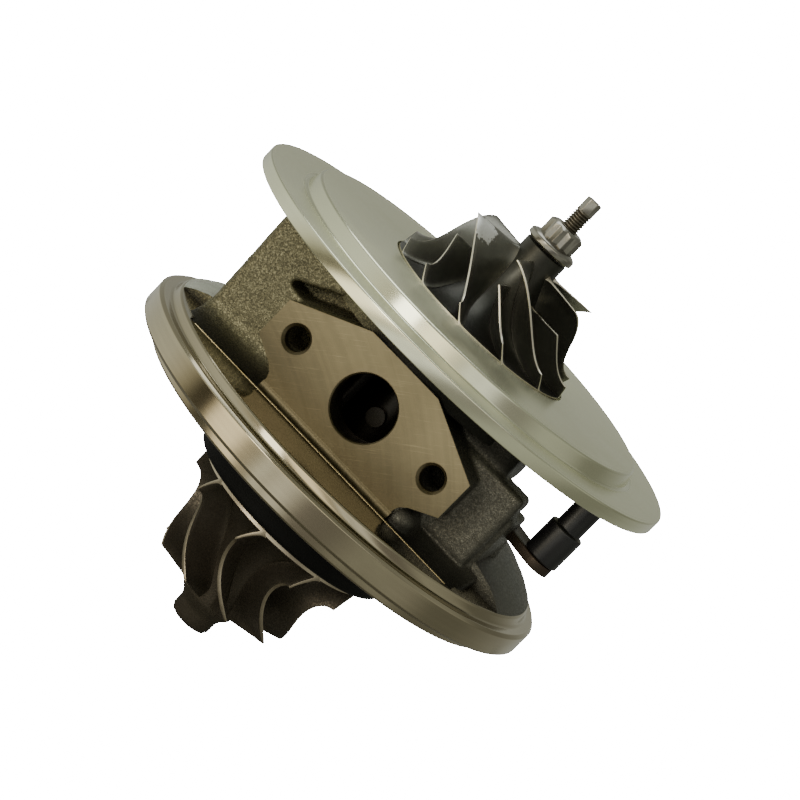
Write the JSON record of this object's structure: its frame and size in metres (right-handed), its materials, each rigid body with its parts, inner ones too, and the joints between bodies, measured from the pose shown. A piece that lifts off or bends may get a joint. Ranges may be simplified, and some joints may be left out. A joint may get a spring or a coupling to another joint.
{
  "type": "turbo cartridge",
  "caption": "Turbocharger centre cartridge: turbine wheel, flanged cast bearing housing with oil drain pad, turned back plate, compressor wheel and nozzle crank lever.",
  "frame": {"origin": "on the rotor axis, in the plane of the housing flange's mounting face on the turbine side", "axes": "+Z along the rotor from the turbine wheel to the compressor wheel, -Y out of the oil drain pad, +X towards the crank lever"},
  "size_m": [0.142, 0.1414, 0.1588],
  "materials": {
    "cast_iron": "rough cast, machined on its seats",
    "turned_aluminium": "bright turned",
    "cast_wheel_aluminium": "cast, machined on the blade edges",
    "nickel_alloy": "dull as cast",
    "ground_steel": "ground",
    "dark_sheet": "dark oxide on pressed sheet",
    "browned_steel": "lightly browned",
    "bearing_bronze": "machined",
    "black_plastic": "moulded",
    "black_rubber": "moulded"
  },
  "bodies": {
    "cartridge": {"bearing_housing": "cast_iron", "compressor_back_plate": "turned_aluminium", "back_plate_screw_1": "ground_steel", "back_plate_screw_2": "ground_steel", "back_plate_screw_3": "ground_steel", "back_plate_o_ring": "black_rubber", "journal_bearing": "bearing_bronze", "bearing_locating_pin": "ground_steel", "turbine_seal_ring": "ground_steel", "compressor_seal_ring": "ground_steel", "thrust_bearing": "bearing_bronze", "oil_deflector": "ground_steel", "heat_shield": "dark_sheet", "flange_dowel": "ground_steel", "lever_bush": "ground_steel"},
    "rotor": {"rotor_shaft": "ground_steel", "turbine_wheel": "nickel_alloy", "thrust_collar": "ground_steel", "oil_flinger": "ground_steel", "compressor_wheel": "cast_wheel_aluminium", "shaft_nut": "ground_steel"},
    "lever": {"crank_shaft": "ground_steel", "lever_arm": "browned_steel", "lever_pin": "ground_steel", "lever_pin_cap": "black_plastic", "inner_crank_arm": "ground_steel"}
  },
  "joints": [
    {"name": "rotor_spin", "type": "hinge", "parent": "cartridge", "child": "rotor", "pos_m": [0, 0, 0.02], "axis": [0, 0, 1], "continuous": true},
    {"name": "lever_swing", "type": "hinge", "parent": "cartridge", "child": "lever", "pos_m": [0.04, 0, 0.01], "axis": [0, 0, 1], "range_deg": [-15, 30]}
  ]
}
